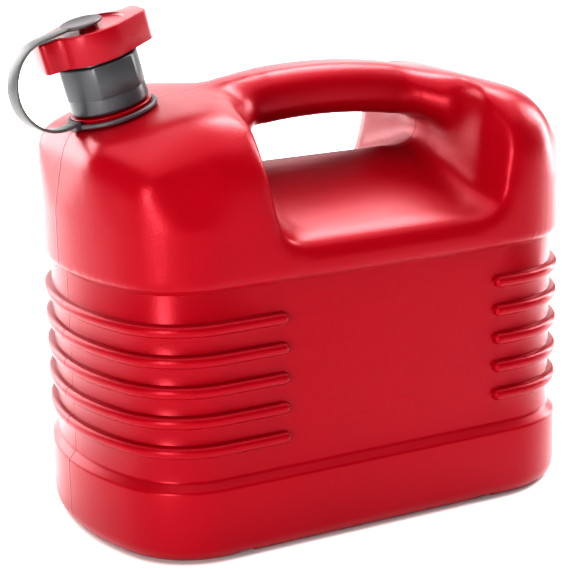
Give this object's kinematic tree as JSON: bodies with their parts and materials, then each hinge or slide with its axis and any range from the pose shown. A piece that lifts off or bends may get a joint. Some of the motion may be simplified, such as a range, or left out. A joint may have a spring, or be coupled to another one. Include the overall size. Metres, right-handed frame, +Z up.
{
  "type": "fuel can",
  "caption": "Blow-moulded fuel can with a moulded-in carrying handle, ribbed sides, a tilted neck with a collar nut over a stowed pour spout, and a lobed screw cap on a tether.",
  "frame": {"origin": "middle of the footprint, on the surface the can stands on", "axes": "+Z up, +X along the length away from the neck, +Y across the width"},
  "size_m": [0.3366, 0.178, 0.2991],
  "materials": {
    "body_red": "satin blow-moulded polyethylene with a faint grain",
    "cap_red": "satin injection-moulded plastic",
    "collar_grey": "semi-gloss injection-moulded plastic",
    "tether_grey": "satin flexible plastic",
    "strap_grey": "satin flexible plastic",
    "spout_dark": "satin flexible plastic",
    "seal_rubber": "matt elastomer"
  },
  "bodies": {
    "can": {"can_body": "body_red"},
    "spout_set": {"pour_spout": "spout_dark", "neck_gasket": "seal_rubber"},
    "collar": {"collar_nut": "collar_grey"},
    "liner": {"cap_seal": "seal_rubber"},
    "cap": {"cap": "cap_red"},
    "tether_ring": {"tether_ring": "tether_grey"},
    "strap": {"tether_strap": "strap_grey"},
    "button": {"tether_button": "tether_grey"}
  },
  "joints": [
    {"name": "collar_rise", "type": "slide", "parent": "can", "child": "spout_set", "axis": [-0.2487, 0, 0.9686], "range_m": [0, 0.007]},
    {"name": "collar_turn", "type": "hinge", "parent": "spout_set", "child": "collar", "pos_m": [-0.1156, 0, 0.232], "axis": [-0.2487, 0, 0.9686], "range_deg": [0, 630]},
    {"name": "cap_rise", "type": "slide", "parent": "collar", "child": "liner", "axis": [-0.2487, 0, 0.9686], "range_m": [0, 0.006]},
    {"name": "cap_turn", "type": "hinge", "parent": "liner", "child": "cap", "pos_m": [-0.1156, 0, 0.232], "axis": [-0.2487, 0, 0.9686], "range_deg": [0, 540]},
    {"name": "tether_swivel", "type": "hinge", "parent": "can", "child": "tether_ring", "pos_m": [-0.1156, 0, 0.232], "axis": [-0.2487, 0, 0.9686], "continuous": true},
    {"name": "strap_flex", "type": "slide", "parent": "tether_ring", "child": "strap", "axis": [-0.2487, 0, 0.9686], "range_m": [0, 0.007], "deforming": ["tether_strap"]},
    {"name": "button_lift", "type": "slide", "parent": "strap", "child": "button", "axis": [-0.2487, 0, 0.9686], "range_m": [0, 0.006]}
  ],
  "couplings": [
    {"joint": "collar_rise", "follows": "collar_turn", "m_per_rad": 0.00063662},
    {"joint": "cap_rise", "follows": "cap_turn", "m_per_rad": 0.00063662},
    {"joint": "strap_flex", "follows": "collar_turn", "m_per_rad": 0.00063662},
    {"joint": "button_lift", "follows": "cap_turn", "m_per_rad": 0.00063662}
  ]
}
